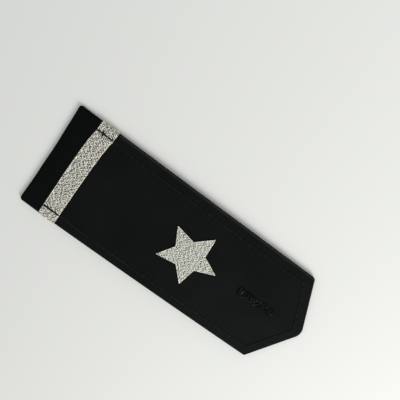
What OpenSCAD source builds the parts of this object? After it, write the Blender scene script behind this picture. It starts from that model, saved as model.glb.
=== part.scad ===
// Shoulder board: a cloth-covered board with a pointed end, a silver lace band, a star and a buttonhole.
// Lengths are in millimetres and angles in degrees. The underside lies on z = 0, the tip looks along +X,
// and the origin is under the middle of the board.

/* [Board] */
// Length from the outer end to the tip
board_l = 136.2; // [110:0.1:170]
// Width between the parallel sides
board_w = 50; // [42:0.5:64]
// Thickness at the middle of the board
board_t = 3.3; // [3:0.1:5]
// Loss of thickness from the middle to either end of the stiff part
crown = 0.9; // [0:0.1:1.1]
// Length of the pointed end, from its shoulders to the tip
point_l = 13.7; // [9:0.1:25]
// Radius of the tip, seen from above
tip_r = 5.5; // [1:0.1:7]
// Radius of the other corners, seen from above
corner_r = 1.3; // [0.6:0.1:3]

/* [Outer tab] */
// Length of the soft tab beyond the lace band
tab_l = 9.6; // [7.5:0.1:15]
// Thickness of the tab at its free edge
tab_t = 1.5; // [1.2:0.1:2.2]

/* [Edge] */
// Width of the rounded edge roll
roll_w = 1.1; // [0.6:0.1:1.6]
// Fall of the cloth from the flat middle to the edge roll
margin_fall = 0.25; // [0:0.05:0.5]
// Distance from the edge to the topstitch groove
stitch_inset = 4.6; // [3:0.1:6]
// Width of the topstitch groove
groove_w = 1.4; // [0.6:0.1:2]
// Depth of the topstitch groove
groove_d = 0.15; // [0.05:0.05:0.5]

/* [Underside] */
// Width of the cover that is turned in along the edges
hem_w = 2.4; // [1.6:0.1:4]
// Depth of the hollow that the back panel fills
hollow_d = 1.2; // [1:0.05:1.4]
// Gap between neighbouring pieces
gap = 0.08; // [0.05:0.01:0.2]

/* [Lace band] */
// Width of the band
band_w = 8.4; // [5:0.1:14]
// Thickness of the lace
lace_t = 0.35; // [0.2:0.05:0.8]
// Shift of the band towards the star at its +Y end
band_bow = 1.4; // [0:0.1:3]
// Height above the underside at which the ends of the band stop
band_foot = 0.4; // [0.2:0.1:1]

/* [Star] */
// Distance from the outer end to the middle of the star
star_x = 73; // [60:0.1:80]
// Length of the star along the board
star_l = 26.9; // [16:0.1:32]
// Width of the star across the board
star_w = 26.8; // [16:0.1:32]
// Inner corners of the star, as a share of the way to its tips
star_inner = 0.49; // [0.3:0.01:0.6]
// Turn of the star about its middle
star_turn = -0.75; // [-5:0.25:5]
// Thickness of the star
star_t = 0.4; // [0.2:0.05:0.8]

/* [Buttonhole] */
// Distance from the tip to the middle of the buttonhole
hole_to_tip = 26.2; // [22:0.1:30]
// Distance from the middle line to the middle of the buttonhole
hole_y = 0.4; // [-2:0.1:2]
// Length of the slit
slit_l = 16; // [10:0.5:18]
// Width of the slit
slit_w = 0.8; // [0.5:0.1:2]
// Width of the worked edge beside the slit
worked_w = 1.7; // [1.2:0.1:2.5]
// Height of the worked edge above the cloth
worked_t = 0.45; // [0.3:0.05:0.8]
// Thickness of the thread that lines the slit
lining_t = 0.4; // [0.2:0.1:0.8]

/* [Hidden] */

half_w = board_w / 2;
star_points = 5;
// Smallest radius that an inset corner keeps
least_r = 0.3;
// Overshoot of a cutting shape past the surface that it cuts
past = 1;
// Steps in each round end of the worked edge
worked_arc = 8;

// Angle between an edge of the point and the middle line, and the direction that such an edge faces
point_a = atan(half_w / point_l);
point_n = 90 - point_a;
// The sharp tip, and the shoulders from which the point's edges run to it
tip_x = board_l + tip_r * (1 / sin(point_a) - 1);
shoulder_x = tip_x - point_l;
hole_x = board_l - hole_to_tip;

// Corners of the half outline on the +Y side, from the outer end to the tip.
// Columns: x, y, the way that the outline faces before the corner and after it, the angle at which the drawn
// arc ends, the radius, and the number of steps in the arc.
X = 0;
Y = 1;
BEFORE = 2;
AFTER = 3;
END = 4;
RADIUS = 5;
STEPS = 6;
CORNERS = [
    [0, half_w, 180, 90, 90, corner_r, 5],
    [shoulder_x, half_w, 90, point_n, point_n, corner_r, 4],
    [tip_x, 0, point_n, -point_n, 0, tip_r, 4],
];

// Stations on the long sides: shares of the tab's length, then of the length from the tab to the shoulders.
TAB_STATIONS = [0.85, 1];
SIDE_STATIONS = [0.07, 0.15, 0.25, 0.35, 0.45, 0.55, 0.65, 0.75, 0.85, 0.94];
// Stations on each edge of the point, as shares of its length
POINT_STATIONS = [0.33, 0.67];
// Share of the tab's length at which the topstitch groove begins
groove_start = 0.7;

// Rounded edge, from the underside up.
// Columns: distance in from the edge as a share of roll_w, height as a share of the thickness there, and the
// outward and upward parts of the direction that the surface faces.
IN = 0;
HEIGHT = 1;
OUTWARD = 2;
UPWARD = 3;
EDGE = [
    [1.00, 0.00, 0.2, -1.0],
    [0.40, 0.05, 0.6, -0.8],
    [0.08, 0.22, 0.9, -0.4],
    [0.00, 0.45, 1.0, 0.0],
    [0.08, 0.68, 0.9, 0.4],
    [0.30, 0.85, 0.7, 0.7],
    [0.62, 0.95, 0.4, 0.9],
];

// Cloth from the edge roll to the flat middle.
// Columns: distance in from the edge, fall below the flat middle, share of the groove's depth.
DISTANCE = 0;
FALL = 1;
GROOVE = 2;
MARGIN = [
    [roll_w, margin_fall, 0],
    [stitch_inset - groove_w / 2, margin_fall / 4, 0],
    [stitch_inset - groove_w / 5, margin_fall / 8, 0.8],
    [stitch_inset, 0, 1],
    [stitch_inset + groove_w / 5, 0, 0.8],
    [stitch_inset + groove_w / 2, 0, 0],
];

// Course of the lace band across the board. Columns: share of half the width, share of the band's bow.
ACROSS = 0;
BOW = 1;
BAND = [
    [-1.1, 0],
    [-0.15, 0.03],
    [0.3, 0.2],
    [0.56, 0.35],
    [0.7, 0.6],
    [0.82, 0.92],
    [0.92, 1],
    [1.1, 1],
];

// Section of the worked edge beside the slit, above the cloth.
// Columns: distance out from the slit as a share of worked_w, height as a share of worked_t.
OUT = 0;
RISE = 1;
WORKED = [
    [1, 0],
    [0.97, 0.45],
    [0.78, 0.85],
    [0.5, 1],
    [0.22, 0.85],
    [0, 0.4],
];

// Thickness of the stiff part and of the tab at a distance from the outer end
stiff_half = (board_l - tab_l) / 2;
stiff_mid = board_l - stiff_half;
function stiff_top(x) = board_t - crown * pow((x - stiff_mid) / stiff_half, 2);
function top(x) =
    x >= tab_l ? stiff_top(x) : tab_t + (stiff_top(tab_l) - tab_t) * x / tab_l;
function groove_share(x) =
    max(0, min(1, (x / tab_l - groove_start) / (1 - groove_start)));

// Half outline on the +Y side at a distance in from the edge, from the outer end to the tip
function way(a) = [cos(a), sin(a)];
function corner_radius(c, inset) = max(c[RADIUS] - inset, least_r);
function corner_centre(c, inset) =
    let (before = way(c[BEFORE]), after = way(c[AFTER]))
    [c[X], c[Y]]
    - (inset + corner_radius(c, inset)) * (before + after) / (1 + before * after);
function corner_arc(c, inset) = [
    for (i = [0 : c[STEPS]])
    corner_centre(c, inset)
    + corner_radius(c, inset) * way(c[BEFORE] + (c[END] - c[BEFORE]) * i / c[STEPS])
];
function side_points(inset) = [
    for (share = TAB_STATIONS)
    [share * tab_l, half_w - inset],
    for (share = SIDE_STATIONS)
    [tab_l + share * (shoulder_x - tab_l), half_w - inset],
];
function between(a, b) = [for (share = POINT_STATIONS) a + share * (b - a)];
function half_outline(inset) =
    let (
        shoulder = corner_arc(CORNERS[1], inset),
        tip = corner_arc(CORNERS[2], inset)
    )
    concat(
        corner_arc(CORNERS[0], inset),
        side_points(inset),
        shoulder,
        between(shoulder[len(shoulder) - 1], tip[0]),
        tip
    );

// Whole outline: the half outline, then its mirror image back from the tip
function mirrored(points) = [
    for (i = [len(points) - 2 : -1 : 0])
    [points[i][X], -points[i][Y]]
];
function outline_points(inset) =
    let (half = half_outline(inset))
    concat(half, mirrored(half));

// Rings of the board's outer form, grown outward by a distance
function edge_ring(row, grow) = [
    for (p = outline_points(row[IN] * roll_w - grow * row[OUTWARD]))
    [p[X], p[Y], row[HEIGHT] * (top(p[X]) - margin_fall) + grow * row[UPWARD]]
];
function margin_ring(row, grow) = [
    for (p = outline_points(row[DISTANCE]))
    [p[X], p[Y], top(p[X]) - row[FALL] - row[GROOVE] * groove_d * groove_share(p[X]) + grow]
];
function form_rings(grow) = concat(
    [for (row = EDGE) edge_ring(row, grow)],
    [for (row = MARGIN) margin_ring(row, grow)]
);

// Faces between neighbouring rings, and across one ring from side to side
function flat(lists) = [for (list = lists) for (item = list) item];
function wall_faces(rings, count) = [
    for (k = [0 : rings - 2])
    for (i = [0 : count - 1])
    let (
        a = k * count + i,
        b = k * count + (i + 1) % count
    )
    each [[a, b, b + count], [a, b + count, a + count]]
];
function across_faces(base, count) = [
    for (i = [0 : (count - 3) / 2])
    let (
        a = base + i,
        b = base + i + 1,
        c = base + count - i - 2,
        d = base + count - i - 1
    )
    each concat(b == c ? [] : [[a, b, c]], [[a, c, d]])
];
function turned_over(faces) = [for (face = faces) [face[2], face[1], face[0]]];

module board_form(grow = 0) {
    rings = form_rings(grow);
    count = len(rings[0]);
    polyhedron(
        points = flat(rings),
        faces = concat(
            turned_over(across_faces(0, count)),
            wall_faces(len(rings), count),
            across_faces((len(rings) - 1) * count, count)
        ),
        convexity = 6
    );
}

// Flat outlines

module outline(inset) {
    polygon(outline_points(inset));
}

module slot(length, width) {
    square([length - width, width], center = true);
    for (side = [-1, 1])
        translate([side * (length - width) / 2, 0])
            circle(d = width, $fn = 32);
}

module hollow_outline(clearance = 0) {
    start = tab_l + hem_w + clearance;
    intersection() {
        outline(hem_w + clearance);
        translate([start, -board_w])
            square([board_l, 2 * board_w]);
    }
}

module slit_cut(clearance) {
    width = slit_w + 2 * lining_t + 2 * clearance;
    translate([hole_x, hole_y, -past])
        linear_extrude(board_t + 2 * past)
            slot(slit_l + width - slit_w, width);
}

module band_outline() {
    outer_edge = [for (row = BAND) [tab_l + row[BOW] * band_bow, row[ACROSS] * half_w]];
    inner_edge = [for (i = [len(BAND) - 1 : -1 : 0]) outer_edge[i] + [band_w, 0]];
    polygon(concat(outer_edge, inner_edge));
}

module star_outline() {
    step = 180 / star_points;
    scale([star_l / (1 + cos(step)), star_w / (2 * sin(2 * step))])
        polygon([
            for (i = [0 : 2 * star_points - 1])
            (i % 2 == 0 ? 1 : star_inner) * way(i * step)
        ]);
}

// Worked edge: a section carried round the slit, with a thin lining down to the underside
function slot_ring(offset) = [
    for (end = [0, 1])
    for (i = [0 : worked_arc])
    let (
        a = 90 - 180 * end - 180 * i / worked_arc,
        middle = (slit_l - slit_w) / 2 * (1 - 2 * end)
    )
    [middle, 0] + (slit_w / 2 + offset) * way(a)
];
function on_cloth(offset, rise) = [
    for (p = slot_ring(offset))
    [hole_x + p[X], hole_y + p[Y], top(hole_x + p[X]) + gap + rise]
];
function at_underside(offset) = [
    for (p = slot_ring(offset))
    [hole_x + p[X], hole_y + p[Y], gap]
];
function worked_rings() = concat(
    [at_underside(0), at_underside(lining_t), on_cloth(lining_t, 0)],
    [for (row = WORKED) on_cloth(row[OUT] * worked_w, row[RISE] * worked_t)]
);
function loop_faces(rings, count) = [
    for (k = [0 : rings - 1])
    for (i = [0 : count - 1])
    let (
        low = k * count,
        high = (k + 1) % rings * count,
        j = (i + 1) % count
    )
    each [[low + i, low + j, high + j], [low + i, high + j, high + i]]
];

module placed() {
    translate([-board_l / 2, 0, 0])
        children();
}

// Pieces

module cover() {
    color([0.09, 0.10, 0.10])
        placed()
            difference() {
                board_form();
                translate([0, 0, -past])
                    linear_extrude(hollow_d + past)
                        hollow_outline();
                slit_cut(gap);
            }
}

module back_panel() {
    color([0.07, 0.08, 0.08])
        placed()
            difference() {
                linear_extrude(hollow_d - gap)
                    hollow_outline(gap);
                slit_cut(gap);
            }
}

module lace_band() {
    color([0.65, 0.64, 0.60])
        placed()
            intersection() {
                difference() {
                    board_form(gap + lace_t);
                    board_form(gap);
                }
                translate([0, 0, band_foot])
                    linear_extrude(board_t + lace_t)
                        band_outline();
            }
}

module star() {
    color([0.70, 0.70, 0.66])
        placed()
            translate([star_x, 0, top(star_x) + gap])
                linear_extrude(star_t)
                    rotate(star_turn)
                        star_outline();
}

module buttonhole() {
    rings = worked_rings();
    color([0.06, 0.06, 0.06])
        placed()
            polyhedron(
                points = flat(rings),
                faces = loop_faces(len(rings), len(rings[0])),
                convexity = 6
            );
}

cover();
back_panel();
lace_band();
star();
buttonhole();
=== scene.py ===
"""Shoulder board: black cloth over a stiff board, a silver lace band, a silver star and a worked buttonhole.

The script is laid out as an add-on and runs as a script. Everything is in metres, in the part's own frame:
the underside lies on z = 0, the tip looks along +X, and the origin is under the middle of the board.
"""

import bmesh
import bpy
import numpy as np
from bpy.props import FloatProperty, FloatVectorProperty, IntProperty, PointerProperty
from mathutils import Matrix, Vector
from mathutils.kdtree import KDTree


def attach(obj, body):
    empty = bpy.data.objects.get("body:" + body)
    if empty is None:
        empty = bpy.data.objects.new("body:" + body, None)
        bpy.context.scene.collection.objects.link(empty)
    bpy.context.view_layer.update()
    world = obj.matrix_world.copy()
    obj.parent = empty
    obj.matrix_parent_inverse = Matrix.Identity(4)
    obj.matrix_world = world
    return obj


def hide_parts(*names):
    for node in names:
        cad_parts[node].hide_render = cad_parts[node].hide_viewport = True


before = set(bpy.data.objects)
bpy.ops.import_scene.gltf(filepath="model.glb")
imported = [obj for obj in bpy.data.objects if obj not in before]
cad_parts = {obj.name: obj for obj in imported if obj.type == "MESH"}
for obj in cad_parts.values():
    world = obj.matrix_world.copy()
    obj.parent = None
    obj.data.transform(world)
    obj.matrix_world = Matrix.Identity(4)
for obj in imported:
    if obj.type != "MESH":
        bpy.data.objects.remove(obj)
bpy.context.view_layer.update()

bl_info = {
    "name": "Shoulder board",
    "version": (1, 0, 0),
    "blender": (4, 5, 0),
    "location": "View3D > Sidebar > Shoulder board",
    "description": "Builds a cloth-covered shoulder board with lace, a star and a buttonhole",
    "category": "Add Mesh",
}

MM = 0.001


# Settings


def length(name, text, default, low=0.0, high=1000.0):
    """A length setting, given in millimetres and kept in metres."""
    return FloatProperty(
        name=name, description=text, default=default * MM, min=low * MM, max=high * MM,
        unit="LENGTH", precision=5,
    )


def share(name, text, default, low=0.0, high=1.0):
    """A setting without a unit."""
    return FloatProperty(name=name, description=text, default=default, min=low, max=high)


def angle(name, text, default):
    """An angle setting, in radians."""
    return FloatProperty(name=name, description=text, default=default, subtype="ANGLE")


def colour(name, text, default):
    """A colour setting, in linear red, green and blue."""
    return FloatVectorProperty(
        name=name, description=text, default=default, size=3, min=0.0, max=1.0, subtype="COLOR"
    )


def place(name, text, default):
    """A point in the part's frame, given in millimetres."""
    return FloatVectorProperty(
        name=name, description=text, default=[v * MM for v in default], size=3,
        subtype="TRANSLATION", unit="LENGTH", precision=5,
    )


def seed(name, default):
    """The fixed seed of a random choice."""
    return IntProperty(name=name, description="Fixed seed of the random differences", default=default, min=0)


class BoardSizes(bpy.types.PropertyGroup):
    """Sizes of the board's form, as in the part's source"""

    board_l: length("Length", "From the outer end to the tip", 136.2)
    board_w: length("Width", "Between the parallel sides", 50)
    board_t: length("Thickness", "At the middle of the board", 3.3)
    crown: length("Crown", "Loss of thickness from the middle to either end", 0.9)
    point_l: length("Point", "Length of the pointed end", 13.7)
    tip_r: length("Tip radius", "Radius of the tip, seen from above", 5.5)
    corner_r: length("Corner radius", "Radius of the other corners", 1.3)
    tab_l: length("Tab length", "Length of the soft tab beyond the band", 9.6)
    tab_t: length("Tab thickness", "Thickness of the tab at its free edge", 1.5)
    roll_w: length("Edge roll", "Width of the rounded edge roll", 1.1)
    margin_fall: length("Edge fall", "Fall of the cloth from the flat middle to the roll", 0.25)
    stitch_inset: length("Stitch inset", "Distance from the edge to the topstitch", 4.6)
    groove_w: length("Groove width", "Width of the topstitch groove", 1.4)
    groove_d: length("Groove depth", "Depth of the topstitch groove", 0.15)
    hem_w: length("Hem", "Width of the cover that is turned in underneath", 2.4)
    hollow_d: length("Hollow", "Depth of the hollow that the back cloth fills", 1.2)
    gap: length("Gap", "Gap between neighbouring pieces", 0.08)


class ClothSettings(bpy.types.PropertyGroup):
    """Looks of the black cloth"""

    wave: length("Wave", "Height of the slow waves in the face", 0.07)
    pucker: length("Pucker", "Height of the puckers beside the topstitch", 0.05)
    end_wave: length("End wave", "Waviness of the tab's free edge", 0.38)
    step: length("Mesh step", "Spacing of the mesh along the edges", 0.65)
    twill: length("Twill pitch", "Distance between the ribs of the twill", 0.55)
    # painted highlight: how much paler the +Y side's fold is painted
    highlighted: share("Highlighted fold", "How much paler the cloth is where its fold is worn", 4.0, 1.0, 20.0)
    face: colour("Face", "Colour of the face cloth", (0.0050, 0.0054, 0.0052))
    # painted light: the face's colour where its painted light is strongest, paler and with a cooler tint
    lit_face: colour("Lit face", "Colour of the face cloth where it is least faded", (0.0052, 0.0069, 0.0061))
    tab: colour("Tab", "Colour of the softer cloth of the tab", (0.0026, 0.0031, 0.0030))
    back: colour("Back", "Colour of the back cloth", (0.010, 0.010, 0.011))


class LaceSettings(bpy.types.PropertyGroup):
    """Sizes of the silver lace band and of the threads that it shares with the star"""

    band_w: length("Band width", "Width of the lace band", 8.4)
    lace_t: length("Lace thickness", "Thickness of the lace", 0.35)
    band_bow: length("Bow", "Shift of the band towards the star at its +Y end", 1.4)
    band_foot: length("Foot", "Height at which the ends of the band stop", 0.4)
    pitch: length("Thread pitch", "Distance between neighbouring silver threads", 0.38)
    loop_pitch: length("Loop pitch", "Distance between the loops of the selvedge", 0.84)
    float_l: length("Float", "Length of thread between two bindings", 0.8)
    thread_w: length("Thread width", "Width of a flattened silver thread", 0.4)
    thread_h: length("Thread height", "Height of a flattened silver thread", 0.2)
    light: colour("Silver", "Colour of the bright threads", (1.0, 0.97, 0.87))
    dark: colour("Ground", "Colour between the threads", (0.10, 0.10, 0.09))
    # painted shade: sunken threads are coloured darker than raised ones
    high: share("Raised thread", "Brightness of the threads that lie on top", 1.0)
    low: share("Sunken thread", "Brightness of the sunken threads", 0.1)
    sunken: share("Sunken share", "Share of the floats that are sunken", 0.36)
    spread: share("Speckle", "Random difference in brightness between the threads", 0.14)
    weave_seed: seed("Weave seed", 11)


class StarSettings(bpy.types.PropertyGroup):
    """Sizes of the star"""

    star_x: length("Place", "From the outer end to the middle of the star", 73)
    star_l: length("Length", "Length of the star along the board", 26.9)
    star_w: length("Width", "Width of the star across the board", 26.8)
    star_inner: share("Inner share", "Inner corners, as a share of the way to the tips", 0.49)
    star_t: length("Thickness", "Thickness of the star", 0.4)
    light: colour("Silver", "Colour of the bright threads", (0.92, 0.93, 0.84))
    float_l: length("Float", "Length of thread between two bindings", 0.66)
    pitch: length("Thread pitch", "Distance between neighbouring rows of thread", 0.38)
    # painted shade: sunken threads are coloured darker than raised ones
    high: share("Raised thread", "Brightness of the threads that lie on top", 1.0)
    low: share("Sunken thread", "Brightness of the sunken threads", 0.06)
    sunken: share("Sunken share", "Share of the floats that are sunken", 0.34)
    ground: share("Ground", "Brightness of the ground under the threads", 0.35)
    edge_stitch: length("Edge stitch", "Length of a stitch of the edging", 0.62)
    turn: angle("Turn", "Turn of the star on the board", np.radians(-0.75))
    star_seed: seed("Star seed", 23)


class ButtonholeSettings(bpy.types.PropertyGroup):
    """Sizes of the worked buttonhole"""

    hole_to_tip: length("Place", "From the tip to the middle of the buttonhole", 26.2)
    hole_y: length("Shift", "From the middle line to the middle of the buttonhole", 0.4, -1000)
    slit_l: length("Slit length", "Length of the slit", 16)
    slit_w: length("Slit width", "Width of the slit", 0.8)
    worked_w: length("Worked width", "Width of the worked edge", 1.7)
    worked_t: length("Worked height", "Height of the worked edge", 0.45)
    lining_t: length("Lining", "Thickness of the thread that lines the slit", 0.4)
    thread_w: length("Thread", "Width of the thread", 0.34)
    black: colour("Thread", "Colour of the black thread", (0.0022, 0.0023, 0.0023))
    # painted highlight: glint, paler stitches and plain end set the glints painted into the thread's colour
    glint: share("Glint", "How much paler the bright specks are", 44.0, 1.0, 50.0)
    paler: share("Paler stitches", "How near the palest stitches come to the bright specks", 0.48)
    plain_end: share("Plain end", "How much plainer the stitches are towards the tip", 0.5)
    hole_seed: seed("Buttonhole seed", 5)


class TopstitchSettings(bpy.types.PropertyGroup):
    """Sizes of the topstitching"""

    pitch: length("Stitch pitch", "Distance from stitch to stitch", 2.7)
    stitch_l: length("Stitch length", "Length of one stitch", 2.65)
    thread_w: length("Thread", "Width of the thread", 0.5)
    upper_y: length("Upper line", "Distance of the upper line from the middle, on the band", 21.15)
    lower_y: length("Lower line", "Distance of the lower line from the middle, on the band", 19.8)
    lit: share("Lit line", "How much paler the lower line is off the band", 0.3)
    thread: colour("Thread", "Colour of the topstitch thread", (0.0080, 0.0086, 0.0084))
    stitch_seed: seed("Stitch seed", 3)


class StageSettings(bpy.types.PropertyGroup):
    """Floor, lights and camera"""

    floor: colour("Floor", "Colour of the floor", (0.80, 0.797, 0.757))
    # painted light: how much paler the floor is painted from one side to the other
    painted_light_change: share("Painted light change", "How much paler the floor gets from one side to the other", 0.11)
    sky: colour("Sky", "Colour of the soft light from all round", (0.95, 0.98, 1.0))
    sky_power: share("Sky strength", "Strength of the soft light", 0.58, 0.0, 10.0)
    key_power: share("Main light", "Power of the main light in watts", 5.5, 0.0, 1000.0)
    rim_power: share("Side light", "Power of the low side light in watts", 0.15, 0.0, 1000.0)
    camera_at: place("Camera", "Where the camera stands", (-25.435, 64.068, 163.561))
    camera_look: place("Look at", "Point on the floor that the camera looks at", (-5.949, 22.274, 0.0))
    camera_turn: angle("Camera turn", "Direction of the picture's top on the floor", 2.21377)
    lens: FloatProperty(name="Lens", description="Focal length in millimetres", default=36.0)


class ShoulderBoardSettings(bpy.types.PropertyGroup):
    """All settings of the shoulder board"""

    board: PointerProperty(type=BoardSizes)
    cloth: PointerProperty(type=ClothSettings)
    lace: PointerProperty(type=LaceSettings)
    star: PointerProperty(type=StarSettings)
    hole: PointerProperty(type=ButtonholeSettings)
    stitch: PointerProperty(type=TopstitchSettings)
    stage: PointerProperty(type=StageSettings)


def settings():
    """All settings, as the scene keeps them."""
    return bpy.context.scene.shoulder_board


# Node trees and finishes


def operator(operation, turned=False):
    """An operator of Number, which adds a Math node. A turned one is the reflected form."""

    def method(self, other):
        first, second = (other, self) if turned else (self, other)
        return self.maths(operation, first, second)

    return method


class Number:
    """A number in a node tree. An expression on numbers adds Math nodes to the tree."""

    def __init__(self, graph, socket):
        self.graph = graph
        self.socket = socket

    def maths(self, operation, *values):
        """What a Math node makes of these values."""
        node = self.graph.node("ShaderNodeMath", {"operation": operation}, dict(enumerate(values)))
        return Number(self.graph, node.outputs[0])

    __add__ = __radd__ = operator("ADD")
    __mul__ = __rmul__ = operator("MULTIPLY")
    __sub__ = operator("SUBTRACT")
    __rsub__ = operator("SUBTRACT", turned=True)
    __truediv__ = operator("DIVIDE")
    __rtruediv__ = operator("DIVIDE", turned=True)
    __pow__ = operator("POWER")
    __rpow__ = operator("POWER", turned=True)
    least = operator("MINIMUM")
    most = operator("MAXIMUM")

    def __abs__(self):
        return self.maths("ABSOLUTE", self)

    def fract(self):
        """The part after the point."""
        return self.maths("FRACT", self)

    def ramp(self, low, high):
        """0 below low, 1 above high, and straight between them."""
        node = self.graph.node("ShaderNodeMapRange", {"clamp": True}, {0: self, 1: low, 2: high})
        return Number(self.graph, node.outputs[0])

    def stretch(self, come, full, fade, gone):
        """1 from full to fade, 0 before come and after gone."""
        return self.ramp(come, full) * (1 - self.ramp(fade, gone))


class Graph:
    """A node tree that is built node by node."""

    def __init__(self, tree):
        self.tree = tree

    def node(self, kind, options=None, values=None):
        """A node of that kind. Its options are set first, then the values or links of its sockets."""
        node = self.tree.nodes.new(kind)
        for key, value in (options or {}).items():
            setattr(node, key, value)
        for key, value in (values or {}).items():
            socket = node.inputs[key]
            if isinstance(value, Number):
                value = value.socket
            if isinstance(value, bpy.types.NodeSocket):
                self.tree.links.new(value, socket)
            elif socket.type == "RGBA":
                socket.default_value = (*value, 1)
            else:
                socket.default_value = value
        return node

    def parts(self, vector):
        """X, Y and Z of a vector."""
        node = self.node("ShaderNodeSeparateXYZ", None, {0: vector})
        return [Number(self, node.outputs[i]) for i in range(3)]

    def vector(self, *values):
        """A vector from X, Y and Z."""
        return self.node("ShaderNodeCombineXYZ", None, dict(enumerate(values))).outputs[0]


class Finish(Graph):
    """A material that is built node by node."""

    def __init__(self, name):
        self.material = bpy.data.materials.new(name)
        self.material.use_nodes = True
        super().__init__(self.material.node_tree)
        self.tree.nodes.clear()

    def place(self):
        """Place on the piece, in millimetres."""
        values = {0: self.node("ShaderNodeTexCoord").outputs["Object"], "Scale": 1 / MM}
        return self.node("ShaderNodeVectorMath", {"operation": "SCALE"}, values).outputs[0]

    def noise(self, where, cells, detail=2.0):
        """Soft noise from 0 to 1, with so many cells in a millimetre."""
        values = {"Vector": where, "Scale": cells, "Detail": detail}
        return Number(self, self.node("ShaderNodeTexNoise", None, values).outputs[0])

    def attribute(self, name):
        """A number that the mesh keeps for each of its points."""
        return Number(self, self.node("ShaderNodeAttribute", {"attribute_name": name}).outputs["Fac"])

    def blend(self, factor, first, second, mode="MIX"):
        """A colour between two colours, or another mix of them."""
        # 6 and 7 are the node's colour inputs, and 2 is its colour output
        options = {"data_type": "RGBA", "blend_type": mode, "clamp_factor": True}
        return self.node("ShaderNodeMix", options, {0: factor, 6: first, 7: second}).outputs[2]

    def bump(self, height, depth):
        """A normal from a height between 0 and 1, for a relief of that depth in millimetres."""
        values = {"Height": height, "Distance": depth * MM, "Strength": 1.0}
        return self.node("ShaderNodeBump", None, values).outputs[0]

    def done(self, **values):
        """Ends the material with a Principled shader, whose sockets take these values."""
        named = {key.replace("_", " "): value for key, value in values.items()}
        shader = self.node("ShaderNodeBsdfPrincipled", None, named)
        self.node("ShaderNodeOutputMaterial", None, {0: shader.outputs[0]})
        return self.material


# Black cloth, with lengths in millimetres
TWILL_WAY = (0.8, 0.6)  # way across the ribs of the twill
FINE_YARN = 0.7  # pitch of its fine yarns, as a share of the ribs'
RIB_SHARE = 0.65  # share of the ribs in the weave
TAB_END = (2, 5)  # where the tab's colour gives way, beyond the tab
LIT_OVER, LIT_SLANT, LIT_WANDER = 38, 0.35, 12  # painted light, paler and cooler towards the tip and the -Y side: its distance, slant and wandering
HIGHLIGHT_IN = (0.95, 0.6, 0.16, 0.03)  # painted highlight along the +Y side's edge roll: where it comes and goes, in from the edge
HIGHLIGHT_FROM, HIGHLIGHT_TO = (6, 12), (54, 58)  # it comes in beyond the tab, and goes out before the point
HIGHLIGHT_LEAST, HIGHLIGHT_PATCHY = 0.55, 0.9  # its least strength, and how patchy it is
# Silver
TARNISH = (1.0, 0.985, 0.93)  # tint of tarnished silver
DULLS, TINTS = (0.45, 0.8), (0.3, 0.7)  # strengths of tarnish over which it comes to dull and to tint
# Paper
PAPER_LIGHT_WAY = (0.6, 0.8)  # way in which the painted light changes the paper's tone
PAPER_LIGHT_HALF = 100  # half the distance of that change, in millimetres
PAPER_TOOTH, PAPER_SHADED = 0.1, 0.96  # share of its tooth, and lightness of its painted shaded side


def black_cloth(name, face, tab=None):
    """Black twill: slanting ribs, fuzz and slow differences. With a tab colour it fades as a face cloth, with
    painted light and a painted highlight.
    """
    cloth, b = settings().cloth, settings().board
    finish = Finish(name)
    here = finish.place()
    x, y, _ = finish.parts(here)

    def ridges(across, pitch):
        """Straight ridges, from 0 in the furrows to 1 on top."""
        return abs((across / pitch).fract() * 2 - 1)

    (way_x, way_y), pitch = TWILL_WAY, cloth.twill / MM
    ribs = ridges(x * way_x + y * way_y, pitch)
    yarns = ridges(y * way_x - x * way_y, pitch * FINE_YARN)
    weave = ribs * RIB_SHARE + yarns * (1 - RIB_SHARE)
    fuzz = finish.noise(here, cells=5.0, detail=3.0)
    slow = finish.noise(here, cells=0.06)
    ground = face
    if tab is not None:
        band_edge, side_edge = (b.tab_l - b.board_l / 2) / MM, b.board_w / 2 / MM
        # painted light: the face is painted paler and cooler towards the tip and the -Y side
        lit_face = (x * LIT_SLANT - y + slow * LIT_WANDER - LIT_WANDER / 2).ramp(0, LIT_OVER)
        main = finish.blend(lit_face, face, cloth.lit_face)
        ground = finish.blend(x.ramp(*(band_edge + d for d in TAB_END)), tab, main)
        # painted highlight: the +Y side's fold is painted paler, in patches
        across = y.stretch(*(side_edge - d for d in HIGHLIGHT_IN))
        highlighted = across * x.stretch(*(band_edge + d for d in HIGHLIGHT_FROM), *HIGHLIGHT_TO)
        patchy = HIGHLIGHT_LEAST + finish.noise(here, cells=1.3) * HIGHLIGHT_PATCHY
        ground = finish.blend(highlighted * patchy, ground, [c * cloth.highlighted for c in face])
    by_weave, by_fuzz, by_place, least = 0.25, 0.45, 0.75, 0.28
    light = weave * by_weave + fuzz * by_fuzz + slow * by_place + least
    return finish.done(
        Base_Color=finish.blend(1.0, ground, finish.vector(light, light, light), "MULTIPLY"),
        Roughness=0.78 + fuzz * 0.2,
        Specular_IOR_Level=0.06,
        Sheen_Weight=0.01,
        Sheen_Roughness=0.4,
        Normal=finish.bump(weave * 0.8 + fuzz * 0.5, depth=0.06),
    )


def silver_thread(name, bright):
    """Silver wrapped thread: each float has its own brightness, and the ground between floats is dark."""
    finish = Finish(name)
    here = finish.place()
    wrap = finish.noise(here, cells=9.0)
    tarnish = finish.noise(here, cells=0.25)
    sparkle = finish.noise(here, cells=1.7, detail=1.0)
    by_wrap, by_sparkle, by_tarnish = 0.3, 0.7, 0.06
    light = finish.attribute("shade") + (wrap - 0.5) * by_wrap + (sparkle - 0.5) * by_sparkle
    light = (light - tarnish.ramp(*DULLS) * by_tarnish).most(0.0).least(1.0)
    silver = finish.blend(tarnish.ramp(*TINTS), bright, [c * tint for c, tint in zip(bright, TARNISH)])
    return finish.done(
        Base_Color=finish.blend(light, settings().lace.dark, silver),
        Metallic=0.32,
        Roughness=0.5 - light * 0.14,
        Specular_IOR_Level=0.4,
        Normal=finish.bump(wrap, depth=0.03),
    )


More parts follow.
